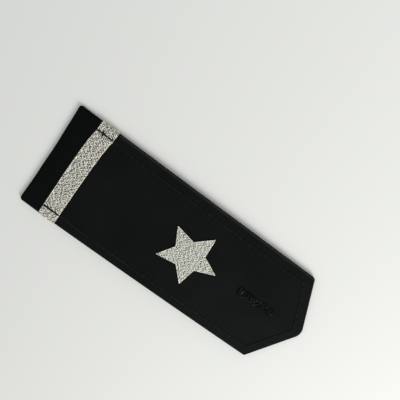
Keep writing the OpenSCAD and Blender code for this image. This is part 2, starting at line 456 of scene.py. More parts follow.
def black_thread(name, ground, glint, gloss, shine):
    """Black sewing thread: glint is how much paler its brightest stitches are, gloss its roughness."""
    finish = Finish(name)
    twist = finish.noise(finish.place(), cells=6.0)
    by_twist = 0.8
    light = finish.attribute("shade") * (1 - by_twist / 2 + twist * by_twist)
    return finish.done(
        Base_Color=finish.blend(light, ground, [c * glint for c in ground]),
        Roughness=gloss + twist * 0.15,
        Specular_IOR_Level=shine,
        Normal=finish.bump(twist, depth=0.04),
    )


def pale_paper(name):
    """Plain pale paper with a faint tooth, and painted light: a slow change of tone from a shaded side to a
    lit side.
    """
    stage = settings().stage
    finish = Finish(name)
    here = finish.place()
    x, y, _ = finish.parts(here)
    # painted light: a slow ramp of tone across the floor
    slow = (x * PAPER_LIGHT_WAY[0] + y * PAPER_LIGHT_WAY[1]).ramp(-PAPER_LIGHT_HALF, PAPER_LIGHT_HALF)
    tooth = finish.noise(here, cells=1.2, detail=3.0)
    tone = slow * (1 - PAPER_TOOTH) + tooth * PAPER_TOOTH
    shaded_side, pale = ([c * part for c in stage.floor] for part in (PAPER_SHADED, PAPER_SHADED + stage.painted_light_change))
    return finish.done(Base_Color=finish.blend(tone, shaded_side, pale), Roughness=0.9, Specular_IOR_Level=0.15)


# Form of the board

# Rounded edge, from the underside up: share of the roll's width in from the edge, share of the thickness
EDGE_ROLL = np.array([
    (1.0, 0.0), (0.4, 0.05), (0.08, 0.22), (0.0, 0.45), (0.08, 0.68), (0.3, 0.85), (0.62, 0.95), (1.0, 1.0),
])
# Steps of the mesh from the edge roll to the flat middle, in millimetres in from the edge
MARGIN_STEPS = (1.5, 2.0, 2.5, 2.9, 3.2, 3.5, 3.75, 4.0, 4.2, 4.4, 4.6, 4.8, 5.0, 5.25, 5.5, 5.8, 6.2)
# Steps of the mesh across the outer end, and round its corners, the shoulders and the tip
END_STEPS, CORNER_STEPS, SHOULDER_STEPS, TIP_STEPS = 30, 5, 4, 5
# Steps of the section across the board, and the shorter ones by which its slope is measured
SECTION_STEP, SLOPE_STEP = 0.35 * MM, 0.15 * MM
# Course of the band across the board: share of half the width, share of the band's bow
BAND_COURSE = np.array([
    (-1.1, 0), (-0.15, 0.03), (0.3, 0.2), (0.56, 0.35), (0.7, 0.6), (0.82, 0.92), (0.92, 1.0), (1.1, 1.0),
])
# Course of the tab's free edge: factors of the powers of the share across, then size and speed of its ripple
END_COURSE = (0.35, 0.75, -1.3, -0.35)
END_RIPPLE = (0.12, 9)
# Slow waves: where they come in, as a share of the edge roll, and over what distance
WAVE_FROM, WAVE_OVER = 0.6, 3 * MM
# All relief comes in over this distance beside the roll, on the mesh's rings and on what is wrapped round
RINGS_OVER, WRAP_OVER = 1.5 * MM, 0.5 * MM
# Puckers beside the topstitch: how far from it they are highest, and their width
PUCKER_AT, PUCKER_W = 1.6 * MM, 1.1 * MM
# Depth of the topstitch's groove: its mean share, and how much more or less it is at and between needle holes
GROOVE_MEAN, GROOVE_CHANGE = 0.62, 0.38
# Share of the tab, from its free edge, that the groove doesn't reach
GROOVE_START = 0.7
# The topstitch lines lie apart on the band, and run into the even inset up to this place, over this length
EVEN_FROM, EVEN_OVER = 32 * MM, 14 * MM
# Step of these lines, and their least distance from the tab
LINE_STEP, LINE_CLEAR = 0.1 * MM, 0.3 * MM
# Section of the worked edge: share of the worked width out from the slit, share of the worked height
WORKED_EDGE = ((1, 0), (0.97, 0.45), (0.78, 0.85), (0.5, 1), (0.22, 0.85), (0, 0.4))

# Points nearer than this are one, and an edge shorter than this is none, in metres
MERGE, NO_EDGE = 2e-6, 1e-7
UP = (0.0, 0.0, 1.0)


def placed(points):
    """Points moved to the part's frame. Until then, x runs from the board's outer end."""
    moved = np.array(points, float)
    moved[..., 0] -= settings().board.board_l / 2
    return moved


def at_height(xy, z):
    """Points in space from points in the plane."""
    return np.column_stack([xy, np.broadcast_to(z, len(xy))])


def smooth_rows(rows, steps):
    """Points on a smooth curve through the rows, with that many steps between two rows."""
    padded = np.vstack([2 * rows[0] - rows[1], rows, 2 * rows[-1] - rows[-2]])
    made = []
    for a, b, c, d in zip(padded, padded[1:], padded[2:], padded[3:]):
        for t in np.arange(steps) / steps:
            # the cubic from b to c whose slopes follow a and d
            made.append(0.5 * (2 * b + (c - a) * t + (2 * a - 5 * b + 4 * c - d) * t**2
                               + (3 * b - a - 3 * c + d) * t**3))
    return np.array([*made, rows[-1]])


def distances(points):
    """Distance along a line at each of its points."""
    return np.concatenate([[0], np.cumsum(np.hypot(*np.diff(points, axis=0).T))])


def way(angle):
    """A step of length one at an angle in the plane."""
    return np.array([np.cos(angle), np.sin(angle)])


class Form:
    """Shape of the board's cloth, with x from its outer end."""

    def __init__(self):
        self.b = b = settings().board
        step = settings().cloth.step
        self.half_w = b.board_w / 2
        self.point_a = np.arctan(self.half_w / b.point_l)
        self.point_n = np.pi / 2 - self.point_a
        self.tip_x = b.board_l + b.tip_r * (1 / np.sin(self.point_a) - 1)
        self.shoulder_x = self.tip_x - b.point_l
        self.stiff_half = (b.board_l - b.tab_l) / 2
        self.stiff_mid = b.board_l - self.stiff_half
        self.side_steps = int(round((self.shoulder_x - b.corner_r) / step))
        self.point_steps = int(round(b.point_l / np.cos(self.point_a) / step))
        self.roll_rows = smooth_rows(EDGE_ROLL, 2)
        self.stitches = StitchLine(self)
        self.band_x = b.tab_l + settings().lace.band_w / 2
        self.section = self.section_rows()
        self.section_z = self.section[:, 1] * self.top(self.band_x) + self.section[:, 2]
        self.section_s = distances(np.column_stack([self.section[:, 0], self.section_z]))

    # Heights

    def stiff_top(self, x):
        """Height of the crowned top over the stiff board."""
        return self.b.board_t - self.b.crown * ((x - self.stiff_mid) / self.stiff_half) ** 2

    def top(self, x):
        """Height of the top, from the soft tab to the tip."""
        b = self.b
        rise = b.tab_t + (self.stiff_top(b.tab_l) - b.tab_t) * x / b.tab_l
        return np.where(x >= b.tab_l, self.stiff_top(x), rise)

    def inset_at(self, x, y):
        """Distance in from the nearest edge."""
        to_point = (self.tip_x - x) * np.cos(self.point_n) - abs(y) * np.sin(self.point_n)
        return np.minimum(np.minimum(self.half_w - abs(y), x), to_point)

    def fall(self, inset):
        """Fall of the cloth below the flat middle."""
        b = self.b
        return b.margin_fall * np.clip((b.stitch_inset - inset) / (b.stitch_inset - b.roll_w), 0, 1)

    @staticmethod
    def slow_waves(u, v):
        """Uneven waves between -1 and 1, at a place in millimetres."""
        # three waves of unlike lengths, in millimetres, mixed by shares that add up to 1
        along = np.sin(u / 9.1 + 0.9 * np.sin(v / 11.0))
        slanting = np.sin(u / 5.3 - v / 7.9 + 1.3)
        across = np.sin(v / 6.1 + u / 23.0 + 0.4)
        return 0.45 * along + 0.3 * slanting + 0.25 * across

    def relief(self, x, y, inset):
        """Height added by the slow waves, the puckers and the sunken topstitch."""
        c, b = settings().cloth, self.b
        body = np.clip((inset - b.roll_w * WAVE_FROM) / WAVE_OVER, 0, 1)
        waves = c.wave * self.slow_waves(x / MM, y / MM) * body
        near, along = self.stitches.near(x, y)
        beat = np.cos(2 * np.pi * along)
        groove = np.cos(np.pi / 2 * np.clip(near / (b.groove_w / 2), 0, 1)) ** 2
        depth = b.groove_d * groove * (GROOVE_MEAN + GROOVE_CHANGE * beat)
        lift = -c.pucker * np.exp(-((near - PUCKER_AT) / PUCKER_W) ** 2) * beat
        fade = np.clip((x / b.tab_l - GROOVE_START) / (1 - GROOVE_START), 0, 1)
        return waves + fade * (lift - depth)

    def surface(self, x, y):
        """Height of the face cloth at a point inside the edge roll."""
        x, y = np.asarray(x, float), np.asarray(y, float)
        inset = self.inset_at(x, y)
        return self.top(x) - self.fall(inset) + self.relief(x, y, inset)

    def on_top(self, xy, lift):
        """Points above the face cloth."""
        return at_height(xy, self.surface(xy[:, 0], xy[:, 1]) + lift)

    # Outlines

    def arc(self, vertex, before, after, end, radius, inset, steps):
        """Rounded corner of the half outline, at a distance in from the edge."""
        r = max(radius - inset, 0.0)
        n1, n2 = way(before), way(after)
        centre = np.array(vertex) - (inset + r) * (n1 + n2) / (1 + n1 @ n2)
        return [centre + r * way(before + (end - before) * i / steps) for i in range(steps + 1)]

    def half_outline(self, inset, start=0.0):
        """Half outline on the +Y side, from the middle of the outer end to the tip."""
        b, pn = self.b, self.point_n
        quarter = np.pi / 2
        corner, shoulder = (start, self.half_w), (self.shoulder_x, self.half_w)
        first = self.arc(corner, np.pi, quarter, quarter, b.corner_r, inset, CORNER_STEPS)
        shoulder = self.arc(shoulder, quarter, pn, pn, b.corner_r, inset, SHOULDER_STEPS)
        tip = self.arc((self.tip_x, 0.0), pn, -pn, 0.0, b.tip_r, inset, TIP_STEPS)
        end = [first[0] * (1, s) for s in np.linspace(0, 1, END_STEPS + 1)[:-1]]
        side = self.run(first[-1], shoulder[0], self.side_steps)
        edge = self.run(shoulder[-1], tip[0], self.point_steps)
        return np.array([*end, *first, *side, *shoulder, *edge, *tip])

    @staticmethod
    def run(a, b, steps):
        """Points between two points, without these."""
        return [a + (b - a) * i / steps for i in range(1, steps)]

    def end_shift(self, x, y):
        """Waviness of the tab's free edge."""
        v = y / self.half_w
        ripple, speed = END_RIPPLE
        wave = sum(factor * v**power for power, factor in enumerate(END_COURSE)) + ripple * np.sin(speed * v)
        return settings().cloth.end_wave * wave * np.clip(1 - x / self.b.tab_l, 0, 1) ** 2

    def ring(self, inset, height, start=0.0):
        """Closed ring of points: height is a number or a function of x and y."""
        half = self.half_outline(inset, start)
        loop = np.vstack([half, half[-2:0:-1] * (1, -1)])
        return at_height(loop, height(*loop.T) if callable(height) else height)

    def middle(self, inset, height, start=0.0):
        """Rows of points across the area inside a ring, from its outer end to its tip."""
        half = self.half_outline(inset, start)
        end = half[: END_STEPS + 1, 1]
        shares = np.concatenate([-end[:0:-1], end]) / end[-1]
        rows = half[END_STEPS:]
        x = np.repeat(rows[:, :1], len(shares), 1)
        y = rows[:, 1:2] * shares
        z = height(x, y) if callable(height) else np.full(x.shape, height)
        return np.stack([x, y, z], -1)

    # Section across the board, for what is wrapped round its sides

    def section_rows(self):
        """Rows from the middle line round the +Y edge to its foot: y, factor of top(x), fixed part."""
        b = self.b
        flat = np.arange(0, self.half_w - b.roll_w, SECTION_STEP)
        rows = [(y, 1.0, -self.fall(self.half_w - y)) for y in flat]
        for inward, part in self.roll_rows[::-1]:
            rows.append((self.half_w - inward * b.roll_w, part, -part * b.margin_fall))
        return np.array(rows)

    def wrapped(self, x, s, lift):
        """Points, and the way the cloth faces, at a distance s round the section from the middle line."""
        x, s, lift = np.broadcast_arrays(np.asarray(x, float), np.asarray(s, float), np.asarray(lift, float))

        def at(t):
            t = np.clip(abs(t), 0, self.section_s[-1])
            y, factor, fixed = (np.interp(t, self.section_s, self.section[:, i]) for i in range(3))
            return y, factor * self.top(x) + fixed

        y, z = at(s)
        ya, za = at(np.maximum(abs(s) - SLOPE_STEP, 0))
        yb, zb = at(abs(s) + SLOPE_STEP)
        nearly_none = 1e-12
        size = np.hypot(yb - ya, zb - za) + nearly_none
        ny, nz = -(zb - za) / size, (yb - ya) / size
        side = np.where(s < 0, -1.0, 1.0)
        flat = np.clip((self.half_w - self.b.roll_w - y) / WRAP_OVER, 0, 1)
        bumps = self.relief(x, side * y, self.half_w - y) * flat
        point = np.stack([x, side * (y + ny * lift), z + nz * lift + bumps], -1)
        return point, np.stack([np.zeros_like(ny), side * ny, nz], -1)

    def foot(self, height):
        """Distance round the section at which the cloth is that high."""
        z, s = self.section_z, self.section_s
        low = np.argmax((z < height) & (self.section[:, 0] > self.half_w / 2))
        return float(np.interp(height, [z[low], z[low - 1]], [s[low], s[low - 1]]))


def band_start(y):
    """Outer edge of the band at a distance across the board."""
    board, lace = settings().board, settings().lace
    return board.tab_l + lace.band_bow * np.interp(y / (board.board_w / 2), *BAND_COURSE.T)


class StitchLine:
    """Path of the topstitching in the plane, with its stitches and needle holes."""

    def __init__(self, shape):
        s, b = settings().stitch, shape.b
        half = shape.half_outline(b.stitch_inset)
        side = half[END_STEPS + CORNER_STEPS + 1:]
        side = side[side[:, 0] > b.tab_l + LINE_CLEAR]
        # on the band the lines lie where the needle went, then run into the even inset
        even = shape.half_w - b.stitch_inset
        drift = np.clip((EVEN_FROM - side[:, 0]) / EVEN_OVER, 0, 1)
        drift = drift * drift * (3 - 2 * drift)
        upper, lower = side.copy(), side[::-1] * (1, -1)
        upper[:, 1] += (s.upper_y - even) * drift
        lower[:, 1] -= (s.lower_y - even) * drift[::-1]
        start, end = ([band_start(y) + LINE_STEP, y] for y in (s.upper_y, -s.lower_y))
        upper = upper[upper[:, 0] > start[0] + LINE_STEP]
        self.path = np.vstack([start, upper, lower[1:], end])
        self.along = distances(self.path)
        self.count = int(round(self.along[-1] / s.pitch))
        self.pitch = self.along[-1] / self.count
        places = np.linspace(0, self.along[-1], int(self.along[-1] / LINE_STEP))
        self.places = places / self.pitch
        self.tree = KDTree(len(places))
        for i, p in enumerate(self.at(places)):
            self.tree.insert((*p, 0), i)
        self.tree.balance()

    def at(self, distance):
        """Points at a distance along the line."""
        return np.column_stack([np.interp(distance, self.along, self.path[:, i]) for i in range(2)])

    def near(self, x, y):
        """Distance to the line, and the place along it in stitches: whole numbers are needle holes."""
        found = [self.tree.find((*p, 0)) for p in zip(np.ravel(x), np.ravel(y))]
        distance = np.array([f[2] for f in found]).reshape(np.shape(x))
        return distance, self.places[[f[1] for f in found]].reshape(np.shape(x))


# Meshes


def quads(index):
    """Faces between the neighbouring points of a grid of point numbers."""
    return np.stack([index[:-1, :-1], index[:-1, 1:], index[1:, 1:], index[1:, :-1]], -1).reshape(-1, 4)


class Surface:
    """Grids of quads that are joined to one closed mesh."""

    def __init__(self):
        self.points = []
        self.faces = []
        self.shades = []
        self.count = 0

    def grid(self, points, closed=False, flip=False, shade=0.0):
        """Adds rows of points. Where it is closed, the last column joins the first."""
        points = placed(points)
        rows, columns = points.shape[:2]
        index = self.count + np.arange(rows * columns).reshape(rows, columns)
        if closed:
            index = np.concatenate([index, index[:, :1]], 1)
        self.faces.append(quads(index)[:, ::-1] if flip else quads(index))
        self.points.append(points.reshape(-1, 3))
        self.shades.append(np.broadcast_to(shade, (rows, columns)).ravel())
        self.count += rows * columns

    def object(self, name, finish=None):
        """A mesh object, with its doubles merged and its faces turned outwards."""
        mesh = bpy.data.meshes.new(name)
        mesh.from_pydata(np.vstack(self.points).tolist(), [], np.vstack(self.faces).tolist())
        shade = mesh.attributes.new("shade", "FLOAT", "POINT")
        shade.data.foreach_set("value", np.concatenate(self.shades).astype(np.float32))
        made = bmesh.new()
        made.from_mesh(mesh)
        bmesh.ops.remove_doubles(made, verts=made.verts, dist=MERGE)
        bmesh.ops.dissolve_degenerate(made, edges=made.edges, dist=NO_EDGE)
        if made.calc_volume(signed=True) < 0:
            bmesh.ops.reverse_faces(made, faces=made.faces)
        open_edges = sum(1 for e in made.edges if len(e.link_faces) != 2)
        made.to_mesh(mesh)
        made.free()
        if open_edges:
            raise RuntimeError(f"{name} has {open_edges} open edges")
        mesh.shade_smooth()
        if finish:
            mesh.materials.append(finish)
        return added(name, mesh)


def added(name, data):
    """A new object in the scene."""
    made = bpy.data.objects.new(name, data)
    bpy.context.scene.collection.objects.link(made)
    return made


def plain_mesh(source):
    """Plain mesh of an object with its modifiers applied."""
    graph = bpy.context.evaluated_depsgraph_get()
    return bpy.data.meshes.new_from_object(source.evaluated_get(graph))


def joined(name, objects):
    """One object from several, which are used up."""
    with bpy.context.temp_override(
        active_object=objects[0], selected_editable_objects=objects, selected_objects=objects
    ):
        bpy.ops.object.join()
    objects[0].name = objects[0].data.name = name
    return objects[0]


def set_up(piece, node):
    """Makes a finished piece part of the board, in place of its node if it has one."""
    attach(piece, "root")
    if node:
        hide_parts(node)
    return piece


# Threads, by geometry nodes

# Inputs of the thread tree: name, kind and default
THREAD_INPUTS = (
    ("Half width", "Float", 0.2 * MM),
    ("Half height", "Float", 0.1 * MM),
    ("Rise", "Float", 0.1 * MM),
    ("Taper", "Float", 0.6),
    ("Steps", "Int", 4),
    ("Sides", "Int", 6),
    ("Wobble", "Float", 0.05),
    ("Seed", "Int", 0),
    ("Finish", "Material", None),
)
# How thin a thread's ends may get, as a share of its width
THIN_END = 0.05


def thread_shape(graph, number):
    """A short arched thread along X, one unit long, made by the nodes of a tree."""
    tube = graph.node(
        "GeometryNodeMeshCylinder", {"fill_type": "NGON"},
        {"Vertices": number["Sides"], "Side Segments": number["Steps"], "Radius": 1.0, "Depth": 1.0},
    )
    x, y, z = graph.parts(graph.node("GeometryNodeInputPosition").outputs[0])
    t = z * 2
    thin = (1 - number["Taper"] * t**4).most(THIN_END)
    arch = number["Rise"] * (1 - t * t)
    shape = graph.vector(z, y * number["Half width"] * thin, x * number["Half height"] * thin * -1 + arch)
    moved = graph.node("GeometryNodeSetPosition", None, {"Geometry": tube.outputs["Mesh"], "Position": shape})
    smooth = graph.node("GeometryNodeSetShadeSmooth", {"domain": "FACE"}, {"Geometry": moved.outputs[0]})
    return smooth.outputs[0]


def laid_tree():
    """Geometry Nodes: lays one thread on each point, by the point's own directions and length."""
    if "Laid threads" in bpy.data.node_groups:
        return bpy.data.node_groups["Laid threads"]
    tree = bpy.data.node_groups.new("Laid threads", "GeometryNodeTree")
    for way_through in ("OUTPUT", "INPUT"):
        tree.interface.new_socket("Geometry", in_out=way_through, socket_type="NodeSocketGeometry")
    for name, kind, default in THREAD_INPUTS:
        socket = tree.interface.new_socket(name, in_out="INPUT", socket_type="NodeSocket" + kind)
        if default is not None:
            socket.default_value = default
    graph = Graph(tree)
    given = graph.node("NodeGroupInput")
    number = {s.name: Number(graph, s) for s in given.outputs if s.name}

    def named(name, kind):
        node = graph.node("GeometryNodeInputNamedAttribute", {"data_type": kind}, {"Name": name})
        return next(s for s in node.outputs if s.enabled and s.name == "Attribute")

    turned = graph.node(
        "FunctionNodeAxesToRotation", {"primary_axis": "X", "secondary_axis": "Z"},
        {0: named("along", "FLOAT_VECTOR"), 1: named("up", "FLOAT_VECTOR")},
    )
    loose = graph.node("FunctionNodeRandomValue", {"data_type": "FLOAT"}, {"Seed": number["Seed"]})
    low, high = [s for s in loose.inputs if s.enabled and s.name in ("Min", "Max")]
    tree.links.new((number["Wobble"] * -1).socket, low)
    tree.links.new(number["Wobble"].socket, high)
    swing = next(s for s in loose.outputs if s.enabled)
    spin = graph.node("FunctionNodeEulerToRotation", None, {0: graph.vector(0.0, 0.0, swing)})
    rotation = graph.node(
        "FunctionNodeRotateRotation", {"rotation_space": "LOCAL"}, {0: turned.outputs[0], 1: spin.outputs[0]}
    )
    laid = graph.node("GeometryNodeInstanceOnPoints", None, {
        "Points": given.outputs["Geometry"],
        "Instance": thread_shape(graph, number),
        "Rotation": rotation.outputs[0],
        "Scale": graph.vector(named("span", "FLOAT"), 1.0, 1.0),
    })
    real = graph.node("GeometryNodeRealizeInstances", None, {"Geometry": laid.outputs[0]})
    values = {"Geometry": real.outputs[0], "Material": given.outputs["Finish"]}
    finished = graph.node("GeometryNodeSetMaterial", None, values)
    graph.node("NodeGroupOutput", None, {0: finished.outputs[0]})
    return tree


def set_inputs(modifier, values):
    """Sets a modifier's inputs by their sockets' identifiers."""
    for item in modifier.node_group.interface.items_tree:
        if item.item_type == "SOCKET" and item.in_out == "INPUT" and item.name in values:
            modifier[item.identifier] = values[item.name]


def laid_threads(name, points, along, up, span, shade, finish, **values):
    """Threads laid on points by the tree, as a plain mesh."""
    mesh = bpy.data.meshes.new(name)
    mesh.from_pydata(placed(points).tolist(), [], [])
    vector, number = ("FLOAT_VECTOR", "vector", (len(points), 3)), ("FLOAT", "value", (len(points),))
    for key, data, (kind, field, size) in (
        ("along", along, vector), ("up", up, vector), ("span", span, number), ("shade", shade, number)
    ):
        layer = mesh.attributes.new(key, kind, "POINT")
        layer.data.foreach_set(field, np.broadcast_to(data, size).astype(np.float32).ravel())
    source = added(name + "_points", mesh)
    modifier = source.modifiers.new("Laid threads", "NODES")
    modifier.node_group = laid_tree()
    set_inputs(modifier, {k.replace("_", " "): v for k, v in values.items()} | {"Finish": finish})
    made = plain_mesh(source)
    made.name = name
    bpy.data.objects.remove(source)
    for key in ("along", "up", "span"):
        if key in made.attributes:
            made.attributes.remove(made.attributes[key])
    return added(name, made)


# Pieces

MOUTH_STEPS = (0, 0.15, 0.4, 0.7, 1)  # steps across the hem, from the edge roll to the hollow
CUT_HEIGHTS = (-1 * MM, 6 * MM)  # heights between which the slit is cut
RIM_STEPS, LINE_STEPS = 10, 48  # steps round an end of the slit: on the rim, and where stitches lie


def make_face_cloth():
    """Face cloth: rolled edges, margin, sunken topstitch, waves, and the hollow underneath."""
    f = Form()
    b, cloth = f.b, settings().cloth

    def shifted(points):
        points[..., 0] += f.end_shift(points[..., 0], points[..., 1])
        return points

    def on_roll(part):
        return lambda x, y: part * (f.top(x) - b.margin_fall)

    def on_face(inset):
        come = np.clip((inset - b.roll_w) / RINGS_OVER, 0, 1)
        return lambda x, y: f.top(x) - f.fall(inset) + f.relief(x, y, inset) * come

    insets = (b.roll_w, *(m * MM for m in MARGIN_STEPS))
    rings = [f.ring(inward * b.roll_w, on_roll(part)) for inward, part in f.roll_rows[:-1]]
    rings += [f.ring(inset, on_face(inset)) for inset in insets]
    body = Surface()
    body.grid([shifted(r) for r in rings], closed=True)
    body.grid(shifted(f.middle(insets[-1], on_face(insets[-1]))))
    # underside: from the foot of the edge roll to the hollow, its wall and its ceiling
    foot, mouth = f.ring(b.roll_w, 0.0), f.ring(b.hem_w, 0.0, b.tab_l)
    hollow = [shifted(foot + (mouth - foot) * t) for t in MOUTH_STEPS]
    hollow += [f.ring(b.hem_w, b.hollow_d * part, b.tab_l) for part in (0.5, 1)]
    body.grid(hollow, closed=True, flip=True)
    body.grid(f.middle(b.hem_w, b.hollow_d, b.tab_l), flip=True)
    piece = body.object("face_cloth", black_cloth("Black face cloth", cloth.face, cloth.tab))
    cut_slit(piece)
    return piece


def slot_ring(offset, steps):
    """Closed ring round the slit at a distance out from its edge, and the way out at each point."""
    hole = settings().hole
    half = (hole.slit_l - hole.slit_w) / 2
    radius = hole.slit_w / 2 + offset
    ends = np.linspace(0, np.pi, steps + 1)
    flat = np.linspace(-half, half, 4 * steps + 1)[1:-1]
    right = np.column_stack([half + radius * np.sin(ends), radius * np.cos(ends)])
    ring = np.vstack([right, at_height(flat[::-1], -radius), -right, at_height(flat, radius)])
    out = ring - at_height(np.clip(ring[:, 0], -half, half), 0)
    out /= np.hypot(*out.T)[:, None]
    return ring + (settings().board.board_l - hole.hole_to_tip, hole.hole_y), out


def cut_slit(piece):
    """Cuts the slit of the buttonhole through a piece."""
    ring, _ = slot_ring(settings().hole.lining_t + settings().board.gap, RIM_STEPS)
    middle = np.tile(ring.mean(0), (len(ring), 1))
    low, high = CUT_HEIGHTS
    cutter = Surface()
    loops = ((middle, low), (ring, low), (ring, high), (middle, high))
    cutter.grid([at_height(*loop) for loop in loops], closed=True)
    tool = cutter.object("slit_tool")
    cut = piece.modifiers.new("Slit", "BOOLEAN")
    cut.operation = "DIFFERENCE"
    cut.solver = "EXACT"
    cut.object = tool
    old, mesh = piece.data, plain_mesh(piece)
    piece.modifiers.clear()
    piece.data = mesh
    bpy.data.meshes.remove(old)
    bpy.data.objects.remove(tool)


def make_back_cloth():
    """Back cloth: a plain panel in the hollow, with softened edges."""
    f = Form()
    b = f.b
    inset = b.hem_w + b.gap
    deep = b.hollow_d - b.gap
    # softness of the edges, height of the rest, and height and lengths of the slight waves
    soft, rest, slight = 0.25 * MM, 0.05 * MM, 0.03 * MM
    length_x, length_y = 3.1, 2.7

    def under(x, y):
        """The underside waves a little, and rests lower off its edges."""
        inwards = np.minimum(f.inset_at(x, y) - inset, x - b.tab_l - inset)
        wave = slight * np.sin(x / MM / length_x) * np.sin(y / MM / length_y)
        return rest + wave - slight * np.clip(inwards / MM, 0, 1)

    # from the upper edge down and round to the underside: distance in from the edge and height
    section = (
        (inset + soft, deep), (inset, deep - soft), (inset, soft + rest), (inset + soft * 0.4, 2 * rest),
        (inset + soft * 1.2, under),
    )
    body = Surface()
    body.grid([f.ring(*row, b.tab_l) for row in section], closed=True, flip=True)
    body.grid(f.middle(*section[0], b.tab_l))
    body.grid(f.middle(*section[-1], b.tab_l), flip=True)
    piece = body.object("back_cloth", black_cloth("Black back cloth", settings().cloth.back))
    cut_slit(piece)
    return piece


class Threads:
    """Silver threads to be laid on points, gathered one by one."""

    sink = 0.06 * MM  # how deep a sunken float lies
    darkest = 0.03  # least brightness of a thread
    uneven = (0.4, 1.6)  # how unevenly sunken floats come
    make_up = 0.4  # how strongly a float makes up for those beside it
    stray = 0.2  # how far a binding strays, as a share of a float
    least = 0.3  # its least distance from a row's end, as a share of a float

    def __init__(self, thread_seed):
        self.draw = np.random.default_rng(thread_seed)
        self.rows = []
        self.due = 0.0
        self.sunk, self.sunk_before = [], []

    def lay(self, point, ahead, up, span, shade):
        """Keeps a thread to be laid at a point, towards a point ahead."""
        shade = np.clip(shade + self.draw.normal(0, settings().lace.spread), self.darkest, 1)
        self.rows.append((*point, *(ahead - point), *up, span, shade))

    def next_row(self):
        """Starts a row beside the last one."""
        self.sunk, self.sunk_before = [], self.sunk

    def tone(self, start, end, weave):
        """Brightness of the next float and how deep it lies: sunken ones are painted darker, painted shade,
        and seldom side by side.
        """
        beside = sum(max(0.0, min(end, b) - max(start, a)) for a, b in self.sunk_before) / (end - start)
        self.due += weave.sunken * self.draw.uniform(*self.uneven) + (weave.sunken - beside) * self.make_up
        if self.due < 1:
            return weave.high, 0.0
        # painted shade: a sunken float gets the darker colour
        self.due -= 1
        self.sunk.append((start, end))
        return weave.low, self.sink

    def edging_tone(self, low, high):
        """Brightness of a stitch of an edging: two in three are bright."""
        return self.draw.choice((low, high, high))

    def breaks(self, start, end, float_l):
        """Places where a thread dips under, between its two ends."""
        made = np.arange(start + self.draw.uniform(-1, 0) * float_l, end, float_l)
        made = made + self.draw.uniform(-self.stray, self.stray, len(made)) * float_l
        clear = self.least * float_l
        return np.array([start, *made[(made > start + clear) & (made < end - clear)], end])

    def object(self, name, finish, rise, wobble=0.05):
        """All the threads, laid, as one object."""
        lace = settings().lace
        rows = np.array(self.rows)
        return laid_threads(
            name, rows[:, :3], rows[:, 3:6], rows[:, 6:9], rows[:, 9], rows[:, 10], finish,
            Half_width=lace.thread_w / 2, Half_height=lace.thread_h / 2, Rise=rise, Taper=0.8,
            Steps=4, Sides=6, Wobble=wobble, Seed=lace.weave_seed,
        )


# Ground of the lace
GROUND_SHARE = 0.4  # its thickness, as a share of the lace's
GROUND_IN = 0.2 * MM  # its distance in from the edges
FOOT_L = 4 * MM  # length at either foot with a fine mesh
FOOT_STEPS, ROUND_STEPS, ACROSS_STEPS = 20, 90, 13  # points at a foot, between the feet, and across
LINE_SHADOW_W = 0.7 * MM  # painted shadow beside the lower stitch line: the ground is painted dark this far from it
# Threads of the lace
ROW_IN, LOOP_IN = 0.8, 0.62  # how far rows and loops lie in from the edge, of the thread's width
FLOAT_FILL, LOOP_FILL = 0.92, 0.86  # how much of its place a float and a loop fill
LOOP_LIFT = 0.8  # height of the loops, as a share of the ground's thickness
CLEAR_UPPER, CLEAR_LOWER = 0.55, 0.9  # how far rows stay off either stitch line, as a share of their pitch
# Short distances ahead, by which the direction of a thread, a loop and a float of the star are found
AHEAD, LOOP_AHEAD, STAR_AHEAD = 0.2 * MM, 0.1 * MM, 0.3 * MM


